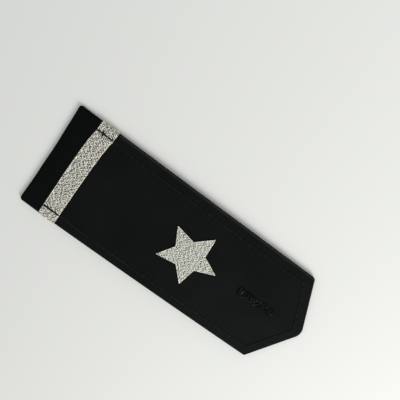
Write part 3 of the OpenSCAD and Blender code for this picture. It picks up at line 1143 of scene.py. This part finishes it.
def make_lace():
    """Silver lace: a thin ground wrapped round the sides, silver threads across it, and looped selvedges."""
    f = Form()
    lace, stitch = settings().lace, settings().stitch
    finish = silver_thread("Silver lace", lace.light)
    reach = f.foot(lace.band_foot)
    low, high = f.b.gap, f.b.gap + lace.lace_t * GROUND_SHARE

    def on_band(s, v, lift):
        """Point on the band: s round the board, v across the band from its outer edge."""
        flat, _ = f.wrapped(f.band_x, s, 0.0)
        return f.wrapped(band_start(flat[..., 1]) + v, s, lift)

    steps = np.concatenate([
        np.linspace(-reach, -reach + FOOT_L, FOOT_STEPS)[:-1],
        np.linspace(-reach + FOOT_L, reach - FOOT_L, ROUND_STEPS),
        np.linspace(reach - FOOT_L, reach, FOOT_STEPS)[1:],
    ])
    across = np.linspace(GROUND_IN, lace.band_w - GROUND_IN, ACROSS_STEPS)
    bottom, top = ([on_band(steps, v, lift)[0] for v in across] for lift in (low, high))
    loop = np.stack([*bottom, *top[::-1]], 1)
    # painted shadow: the ground darkens towards the lower stitch line
    dark = np.clip(1 - abs(loop[:, :1, 1] + stitch.lower_y) / LINE_SHADOW_W, 0, 1)
    body = Surface()
    body.grid(loop, closed=True, shade=-dark)
    for i in (0, -1):
        body.grid([loop[i, :ACROSS_STEPS], loop[i, : ACROSS_STEPS - 1: -1]], flip=i == 0)
    ground = body.object("lace_ground", finish)

    threads = Threads(lace.weave_seed)

    def lay(s, v, lift, ahead, span, shade):
        """Lays a thread on the band, towards a point ahead: so far round the board, and so far across."""
        point, up = on_band(s, v, lift)
        on, _ = on_band(s + ahead[0], v + ahead[1], lift)
        threads.lay(point, on, up, span, shade)

    edge = lace.thread_w * ROW_IN
    for s in np.arange(-reach + lace.pitch / 2, reach - lace.pitch / 4, lace.pitch):
        y = f.wrapped(f.band_x, s, 0.0)[0][1]
        near_upper = abs(y - stitch.upper_y) < lace.pitch * CLEAR_UPPER
        if near_upper or abs(y + stitch.lower_y) < lace.pitch * CLEAR_LOWER:
            continue
        breaks = threads.breaks(edge, lace.band_w - edge, lace.float_l)
        threads.next_row()
        for a, b in zip(breaks, breaks[1:]):
            shade, sink = threads.tone(a, b, lace)
            lay(s, (a + b) / 2, high - sink, (0, AHEAD), (b - a) * FLOAT_FILL, shade)
    # the looped selvedges: a short thread round each turn
    turn = lace.thread_w * LOOP_IN
    lift = low + lace.lace_t * GROUND_SHARE * LOOP_LIFT
    for v in (turn, lace.band_w - turn):
        for s in np.arange(-reach + lace.loop_pitch / 2, reach - lace.loop_pitch / 4, lace.loop_pitch):
            shade = threads.edging_tone(low=0.5, high=lace.high)
            lay(s, v, lift, (LOOP_AHEAD, 0), lace.loop_pitch * LOOP_FILL, shade)
    return joined("silver_lace", [ground, threads.object("lace_threads", finish, rise=0.05 * MM)])


# Rings of the star's ground: share of the way out, and share of the ground's thickness
STAR_RIM = ((0.95, 0), (0.975, 0.2), (0.975, 0.7))
STAR_RINGS = (0.94, 0.8, 0.65, 0.5, 0.35, 0.2, 0.1, 0.0)
STAR_UNDER = (0.95, 0.7, 0.4, 0.2, 0.0)
STAR_SIDE_STEPS = 14  # steps along a side
STAR_LOW = 0.6  # height of the ground above the cloth, as a share of the gap
STAR_GROUND = 0.42  # its thickness, as a share of the star's
STAR_PAD = 0.25  # padding in its middle, as a share of its thickness
# Threads of the star
LEAST_RUN = 0.3 * MM  # shortest run of thread, and how far the edging stays off a tip
STAR_ROW_IN, EDGING_IN = 0.55, 0.45  # how far rows and edging lie in from the edge, of the thread's width
NEAR_TIP = 0.3  # how far the edging lies in near a tip, as a share of the distance from it
STAR_FILL, EDGING_FILL = 0.95, 1.05  # how much of its place a float and a stitch of the edging fill


def star_corners():
    """Corners of the star: a regular star, drawn out to its length and width, then turned."""
    star = settings().star
    fifth = np.pi / 5
    size = (star.star_l / (1 + np.cos(fifth)), star.star_w / (2 * np.sin(2 * fifth)))
    made = [way(i * fifth) * (1 if i % 2 == 0 else star.star_inner) * size for i in range(10)]
    c, s = way(star.turn)
    return np.array(made) @ np.array([[c, s], [-s, c]])


def make_star():
    """Star: a thin raised ground, rows of silver thread, and an edging of short bright stitches."""
    f = Form()
    star, lace = settings().star, settings().lace
    finish = silver_thread("Silver star", star.light)
    corners = star_corners()
    sides = list(zip(corners, np.roll(corners, -1, 0)))
    low = f.b.gap * STAR_LOW
    ground_t = star.star_t * STAR_GROUND

    def on_board(xy, lift):
        return f.on_top(np.atleast_2d(xy) + (star.star_x, 0), lift)

    def dome(k):
        """Thickness of the padded ground at a share of the way out to the edge."""
        return ground_t * (1 + STAR_PAD * (1 - k))

    shares = np.arange(STAR_SIDE_STEPS) / STAR_SIDE_STEPS
    outline = np.array([a + (b - a) * t for a, b in sides for t in shares])
    rings = [on_board(outline * k, low + ground_t * up) for k, up in STAR_RIM]
    rings += [on_board(outline * k, low + dome(k)) for k in STAR_RINGS]
    body = Surface()
    body.grid(rings, closed=True, shade=star.ground)
    body.grid([on_board(outline * k, low) for k in STAR_UNDER], closed=True, flip=True, shade=star.ground)
    ground = body.object("silver_star", finish)

    threads = Threads(star.star_seed)

    def lay(xy, ahead, span, shade, sink=0.0):
        k = np.hypot(*xy) / max(np.hypot(*corners.T))
        point, on = on_board([xy, xy + ahead], low + dome(k) - sink)
        threads.lay(point, on, UP, span, shade)

    edge = lace.thread_w * STAR_ROW_IN
    reach = max(corners[:, 1])
    for y in np.arange(-reach + star.pitch, reach - star.pitch / 2, star.pitch):
        threads.next_row()
        cuts = sorted(
            (a[0] + (b[0] - a[0]) * (y - a[1]) / (b[1] - a[1]), edge * np.hypot(*(b - a)) / abs(b[1] - a[1]))
            for a, b in sides if (a[1] - y) * (b[1] - y) < 0
        )
        for (start, come), (end, leave) in zip(cuts[::2], cuts[1::2]):
            start, end = start + come, end - leave
            if end - start < LEAST_RUN:
                continue
            breaks = threads.breaks(start, end, star.float_l)
            for a, b in zip(breaks, breaks[1:]):
                shade, sink = threads.tone(a, b, star)
                lay(np.array([(a + b) / 2, y]), np.array([STAR_AHEAD, 0]), (b - a) * STAR_FILL, shade, sink)
    # edging: short stitches that follow the outline
    for a, b in sides:
        size = np.hypot(*(b - a))
        ahead = (b - a) / size
        inward = np.array([-ahead[1], ahead[0]])
        from_point = a @ a > b @ b
        first, last = (LEAST_RUN, size) if from_point else (0, size - LEAST_RUN)
        count = int(round((last - first) / star.edge_stitch))
        step = (last - first) / count
        for i in range(count):
            along = first + (i + 0.5) * step
            from_tip = along if from_point else size - along
            at = a + ahead * along + inward * min(lace.thread_w * EDGING_IN, from_tip * NEAR_TIP)
            lay(at, ahead * AHEAD, step * EDGING_FILL, threads.edging_tone(low=0.4, high=star.high))
    return ground, threads.object("star_threads", finish, rise=0.06 * MM, wobble=0.08)


# Rows of stitches round the slit, in millimetres: which way they run, distance out from the slit, spacing,
# length, width, height above the cloth, arch, and how loosely they are placed
HOLE_ROWS = {
    "hole_stitches": ("outwards", 0.85, 0.6, 1.6, 0.34, 0.0, 0.2, 0.25),
    "hole_purls": ("round", -0.02, 0.6, 0.5, 0.44, 0.12, 0.1, 0.1),
    "hole_knots": ("round", 0.7, 0.95, 0.5, 0.42, 0.16, 0.12, 0.2),
    "hole_outer_knots": ("round", 1.35, 1.05, 0.45, 0.4, 0.06, 0.1, 0.2),
}
# Bar before the end of the slit: which way its threads run, number, spacing, length, height, arch
HOLE_BAR = {
    "hole_bar": ("across", 5, 0.36, 3.4, 0.06, 0.36),
    "hole_binding": ("along", 8, 0.48, 2.0, 0.2, 0.42),
}
BAR_BEFORE = 0.75 * MM  # distance of the bar from the end of the slit
# Threads that cross the slit, in millimetres: spacing, length, width, height and arch, how far they lean, and
# how unevenly they are placed and cut
CROSSINGS = (0.85, 1.5, 0.34, 0.16, 0.14, 0.5, 0.15, 0.2)
# Painted glints by the bar: distance from the end of the slit, distance from its middle line, brightness
HOLE_GLINTS = np.array(((0.0, 0.2, 1.0), (-1.5, 1.5, 0.5)))
# Length, width, height and arch of a glint's thread, in millimetres, and the way it lies
GLINT_FORM = (0.55, 0.5, 0.34, 0.1)
GLINT_WAY = (0.8, 0.6)
# Stitches of the buttonhole
RIM_W, RIM_T = 0.85, 0.35  # rim under them, as shares of the worked width and height
STITCH_HIGH = 0.42  # half the height of a stitch, as a share of its width
HOLE_STRAY = 0.2  # how far a stitch strays, as a share of its spacing
BAR_UNEVEN = 0.12  # how uneven the bar's threads are, in millimetres
FEW_GLINTS = 6  # the higher, the fewer stitches get a painted glint
PLAIN_OVER, PLAIN_FROM = 3 * MM, 0.7  # they get plainer over this length, from this share of it on


def make_buttonhole():
    """Worked buttonhole: a padded rim, overcast stitches, purls along the slit and a bar at one end."""
    f = Form()
    hole = settings().hole
    draw = np.random.default_rng(hole.hole_seed)
    finish = black_thread("Black buttonhole thread", hole.black, hole.glint, gloss=0.62, shine=0.08)
    gap = f.b.gap
    middle_x = f.b.board_l - hole.hole_to_tip
    end_x = middle_x - hole.slit_l / 2

    def on_cloth(offset, rise):
        return f.on_top(slot_ring(offset, RIM_STEPS)[0], gap + rise)

    rim_w, rim_t = hole.worked_w * RIM_W, hole.worked_t * RIM_T
    rows = [at_height(slot_ring(offset, RIM_STEPS)[0], gap) for offset in (0, hole.lining_t)]
    rows += [on_cloth(hole.lining_t, 0), *(on_cloth(out * rim_w, rise * rim_t) for out, rise in WORKED_EDGE)]
    body = Surface()
    body.grid([*rows, rows[0]], closed=True)
    made = [body.object("hole_rim", finish)]

    def lay(name, points, ways, span, wide, lift, rise, shade):
        """Lays stitches on the cloth. Span, width, lift and rise are in millimetres."""
        made.append(laid_threads(
            name, f.on_top(points, gap + lift * MM), at_height(np.broadcast_to(ways, points.shape), 0), UP,
            span * MM, shade, finish,
            Half_width=wide / 2 * MM, Half_height=wide * STITCH_HIGH * MM, Rise=rise * MM, Taper=0.35,
            Steps=6, Sides=6, Wobble=0.14, Seed=hole.hole_seed + len(made),
        ))

    def few_glinting(tone, x):
        """Brightness of the stitches, with painted glints: most are dark, and those towards the tip are
        plainer.
        """
        plain = np.clip((x - middle_x) / PLAIN_OVER - PLAIN_FROM, 0, 1) * hole.plain_end
        return draw.random(len(x)) ** FEW_GLINTS * tone * (1 - plain)

    for name, (run, out, spacing, size, wide, lift, rise, loose) in HOLE_ROWS.items():
        ring, ways = (np.vstack([rows, rows[:1]]) for rows in slot_ring(out * MM, LINE_STEPS))
        along = distances(ring)
        count = int(along[-1] / (spacing * MM))
        where = (np.arange(count) + draw.uniform(-HOLE_STRAY, HOLE_STRAY, count)) * along[-1] / count
        points, ways = (
            np.column_stack([np.interp(where, along, rows[:, i], period=along[-1]) for i in range(2)])
            for rows in (ring, ways)
        )
        points = points + ways * draw.normal(0, loose, (count, 1)) * MM
        span = size + draw.normal(0, loose, count)
        turned = ways if run == "outwards" else ways[:, ::-1] * (1, -1)
        lay(name, points, turned, span, wide, lift, rise, few_glinting(hole.paler, points[:, 0]))

    spacing, size, wide, lift, rise, lean, loose, uneven = CROSSINGS
    places = np.arange(end_x + spacing * MM, middle_x + hole.slit_l / 2, spacing * MM)
    count = len(places)
    points = at_height(places, hole.hole_y) + draw.normal(0, loose, (count, 2)) * MM
    ways = way(draw.normal(np.pi / 2, lean, count)).T
    span = size + draw.normal(0, uneven, count)
    lay("hole_crossings", points, ways, span, wide, lift, rise, few_glinting(hole.paler, places))
    for name, (run, count, spacing, size, lift, rise) in HOLE_BAR.items():
        across = run == "across"
        points = np.tile((end_x - BAR_BEFORE, hole.hole_y), (count, 1))
        points[:, 0 if across else 1] += (np.arange(count) - (count - 1) / 2) * spacing * MM
        span = size + draw.normal(0, BAR_UNEVEN, count)
        shade = few_glinting(hole.paler / 3, points[:, 0])
        lay(name, points, (0.0, 1.0) if across else (1.0, 0.0), span, hole.thread_w / MM, lift, rise, shade)
    # painted highlight: two bright glints painted on short threads by the bar
    glints = HOLE_GLINTS[:, :2] * MM + (end_x, hole.hole_y)
    lay("hole_specks", glints, GLINT_WAY, *GLINT_FORM, HOLE_GLINTS[:, 2])
    return joined("worked_buttonhole", made)


# Topstitch
STITCH_LIFT = 0.06 * MM  # height of the thread above the cloth, and of its arch
ABOVE_LACE = 1.3  # its height above the lace's ground, in heights of a silver thread
SLOPE_AT = 0.9  # share of half a stitch at which its slope is measured
STITCH_TONES = 0.6  # greatest random difference in brightness


def make_topstitch():
    """Topstitching along both sides and round the point."""
    f = Form()
    stitch, lace = settings().stitch, settings().lace
    finish = black_thread("Black topstitch thread", stitch.thread, glint=2.4, gloss=0.75, shine=0.06)
    line = f.stitches
    middle = (np.arange(line.count) + 0.5) * line.pitch
    half = min(stitch.stitch_l, line.pitch) / 2

    def on_lace(xy):
        start = band_start(xy[:, 1])
        return (xy[:, 0] > start) & (xy[:, 0] < start + lace.band_w)

    def on_top(xy):
        above_lace = f.b.gap + lace.lace_t * GROUND_SHARE + lace.thread_h * ABOVE_LACE
        return f.on_top(xy, np.where(on_lace(xy), above_lace, STITCH_LIFT))

    centre = line.at(middle)
    points, ahead, behind = (on_top(line.at(middle + d)) for d in (0, half * SLOPE_AT, -half * SLOPE_AT))
    points[:, 2] = np.maximum(points[:, 2], (ahead[:, 2] + behind[:, 2]) / 2)
    draw = np.random.default_rng(stitch.stitch_seed)
    # painted light on the lower line off the band, where it is paler, and painted shade on the band, where it
    # is darkest
    lower = centre[:, 1] < 0
    shade = draw.uniform(0, STITCH_TONES, len(centre)) + stitch.lit * lower
    shade[lower & on_lace(centre)] = 0.0
    return laid_threads(
        "topstitch", points, ahead - behind, UP, half * 2, shade, finish,
        Half_width=stitch.thread_w / 2, Half_height=stitch.thread_w * 0.4, Rise=STITCH_LIFT,
        Taper=0.4, Steps=8, Sides=8, Wobble=0.02, Seed=stitch.stitch_seed,
    )


# Thread ends on the band: place from the knot's middle and thickness, in millimetres
KNOT_COURSES = [np.array(course) for course in (
    [
        (-0.16, 1.4, 0.0, 0.08), (-0.26, 0.9, 0.12, 0.19), (-0.1, 0.25, 0.2, 0.21), (0.05, -0.3, 0.2, 0.21),
        (0.14, -0.9, 0.12, 0.19), (0.06, -1.65, 0.0, 0.08),
    ],
    [(0.0, 0.05, 0.2, 0.12), (0.34, 0.25, 0.14, 0.14), (0.5, 0.75, 0.0, 0.06)],
    [(4.3, -0.2, 0.0, 0.08), (4.36, 0.2, 0.12, 0.15), (4.38, 0.65, 0.1, 0.14), (4.3, 1.05, 0.0, 0.06)],
)]
KNOT_X, KNOT_LIFT = 14.1 * MM, 0.12 * MM  # its place from the outer end, and its height above the lace
KNOT_STEPS, KNOT_SIDES = 5, 8  # steps between two rows of a course, and sides of its thread


def make_thread_end():
    """Small curled thread end on the band, where the stitching was finished off."""
    f = Form()
    stitch = settings().stitch
    dark = [c / 2 for c in stitch.thread]
    finish = black_thread("Black thread end", dark, glint=1.8, gloss=0.75, shine=0.06)
    base = f.on_top(np.array([[KNOT_X, stitch.upper_y]]), f.b.gap + settings().lace.lace_t + KNOT_LIFT)
    circle = way(np.arange(KNOT_SIDES) * 2 * np.pi / KNOT_SIDES).T
    body = Surface()
    for course in KNOT_COURSES:
        path = smooth_rows(course * MM, KNOT_STEPS)
        # both ends close to a point
        path[[0, -1], 3] = 0.0
        rings = []
        for row, ahead in zip(path, np.gradient(path[:, :3], axis=0)):
            ahead = Vector(ahead).normalized()
            side = ahead.cross(Vector(UP)).normalized()
            rings.append(base + row[:3] + row[3] * circle @ np.array([side, side.cross(ahead)]))
        body.grid(rings, closed=True, shade=0.2)
    return body.object("thread_end", finish)


# Operators

SENSOR_W = 36.0  # width of the camera's sensor, in millimetres
SEES_FROM, SEES_TO = 0.005, 10.0  # nearest and furthest that it sees, in metres
FLOOR_HALF, FLOOR_POINTS = 1.6, 9  # half the side of the floor in metres, and points along a side
FLOOR_DROP = 0.05 * MM  # depth of the floor below the board
# Lamps: setting of their power, place and side of the square, in millimetres
LAMPS = {
    "main_light": ("key_power", (655, -265, 375), 340),
    "side_light": ("rim_power", (60, 420, 110), 160),
}


class BuildStep:
    """What all the operators share."""

    bl_options = {"REGISTER", "UNDO"}


class SHOULDER_OT_stage(BuildStep, bpy.types.Operator):
    """Camera, plain pale floor and soft studio light"""

    bl_idname = "shoulder_board.stage"
    bl_label = "Stage"

    def execute(self, context):
        stage = settings().stage
        camera = added("camera", bpy.data.cameras.new("camera"))
        camera.data.lens = stage.lens
        camera.data.sensor_width = SENSOR_W
        camera.data.clip_start = SEES_FROM
        camera.data.clip_end = SEES_TO
        ahead = (Vector(stage.camera_look) - Vector(stage.camera_at)).normalized()
        right = ahead.cross(Vector((*way(stage.camera_turn), 0.0))).normalized()
        turn = Matrix((right, right.cross(ahead), -ahead)).transposed()
        camera.matrix_world = Matrix.Translation(stage.camera_at) @ turn.to_4x4()
        context.scene.camera = camera

        spread = np.linspace(-FLOOR_HALF, FLOOR_HALF, FLOOR_POINTS)
        points = at_height(np.stack(np.meshgrid(spread, spread), -1).reshape(-1, 2), -FLOOR_DROP)
        faces = quads(np.arange(len(points)).reshape(FLOOR_POINTS, FLOOR_POINTS))
        mesh = bpy.data.meshes.new("floor")
        mesh.from_pydata(points.tolist(), [], faces.tolist())
        mesh.materials.append(pale_paper("Pale floor"))
        added("floor", mesh)

        world = bpy.data.worlds.new("studio")
        world.use_nodes = True
        sky = world.node_tree.nodes["Background"]
        sky.inputs["Color"].default_value = (*stage.sky, 1)
        sky.inputs["Strength"].default_value = stage.sky_power
        context.scene.world = world
        context.scene.view_settings.view_transform = "Standard"
        for name, (power, at, size) in LAMPS.items():
            # a square soft light that looks at the middle of the board
            lamp = added(name, bpy.data.lights.new(name, "AREA"))
            lamp.data.energy = getattr(stage, power)
            lamp.data.size = size * MM
            lamp.location = Vector(at) * MM
            lamp.rotation_euler = lamp.location.to_track_quat("Z", "Y").to_euler()
        return {"FINISHED"}


class SHOULDER_OT_face_cloth(BuildStep, bpy.types.Operator):
    """Black face cloth, wrapped over the board and turned in underneath"""

    bl_idname = "shoulder_board.face_cloth"
    bl_label = "Face cloth"

    def execute(self, context):
        piece = set_up(make_face_cloth(), "cover")
        return {"FINISHED"}


class SHOULDER_OT_back_cloth(BuildStep, bpy.types.Operator):
    """Plain black back cloth, which closes the underside"""

    bl_idname = "shoulder_board.back_cloth"
    bl_label = "Back cloth"

    def execute(self, context):
        piece = set_up(make_back_cloth(), "back_panel")
        return {"FINISHED"}


class SHOULDER_OT_lace(BuildStep, bpy.types.Operator):
    """Silver lace band with woven threads and looped selvedges"""

    bl_idname = "shoulder_board.lace"
    bl_label = "Lace band"

    def execute(self, context):
        set_up(make_lace(), "lace_band")
        return {"FINISHED"}


class SHOULDER_OT_star(BuildStep, bpy.types.Operator):
    """Five-pointed star of silver thread"""

    bl_idname = "shoulder_board.star"
    bl_label = "Star"

    def execute(self, context):
        ground, threads = make_star()
        set_up(ground, "star")
        set_up(threads, None)
        return {"FINISHED"}


class SHOULDER_OT_buttonhole(BuildStep, bpy.types.Operator):
    """Worked buttonhole of black thread"""

    bl_idname = "shoulder_board.buttonhole"
    bl_label = "Buttonhole"

    def execute(self, context):
        set_up(make_buttonhole(), "buttonhole")
        return {"FINISHED"}


class SHOULDER_OT_topstitch(BuildStep, bpy.types.Operator):
    """Topstitching and the small thread end on the band"""

    bl_idname = "shoulder_board.topstitch"
    bl_label = "Topstitch"

    def execute(self, context):
        set_up(make_topstitch(), None)
        set_up(make_thread_end(), None)
        return {"FINISHED"}


STEPS = (
    SHOULDER_OT_stage,
    SHOULDER_OT_face_cloth,
    SHOULDER_OT_back_cloth,
    SHOULDER_OT_lace,
    SHOULDER_OT_star,
    SHOULDER_OT_buttonhole,
    SHOULDER_OT_topstitch,
)


class SHOULDER_PT_panel(bpy.types.Panel):
    """The steps and settings of the shoulder board"""

    bl_idname = "SHOULDER_PT_panel"
    bl_label = "Shoulder board"
    bl_space_type = "VIEW_3D"
    bl_region_type = "UI"
    bl_category = "Shoulder board"

    def draw(self, context):
        for step in STEPS:
            self.layout.operator(step.bl_idname)
        for name in ShoulderBoardSettings.__annotations__:
            group = getattr(settings(), name)
            box = self.layout.box()
            box.label(text=name.capitalize())
            for key in type(group).__annotations__:
                box.prop(group, key)


CLASSES = (
    BoardSizes,
    ClothSettings,
    LaceSettings,
    StarSettings,
    ButtonholeSettings,
    TopstitchSettings,
    StageSettings,
    ShoulderBoardSettings,
    *STEPS,
    SHOULDER_PT_panel,
)


def register():
    for each in CLASSES:
        bpy.utils.register_class(each)
    bpy.types.Scene.shoulder_board = PointerProperty(type=ShoulderBoardSettings)


def unregister():
    del bpy.types.Scene.shoulder_board
    for each in reversed(CLASSES):
        bpy.utils.unregister_class(each)


def main():
    """Builds the stage and every piece."""
    register()
    for step in STEPS:
        group, name = step.bl_idname.split(".")
        getattr(getattr(bpy.ops, group), name)()
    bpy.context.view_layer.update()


if __name__ == "__main__":
    main()
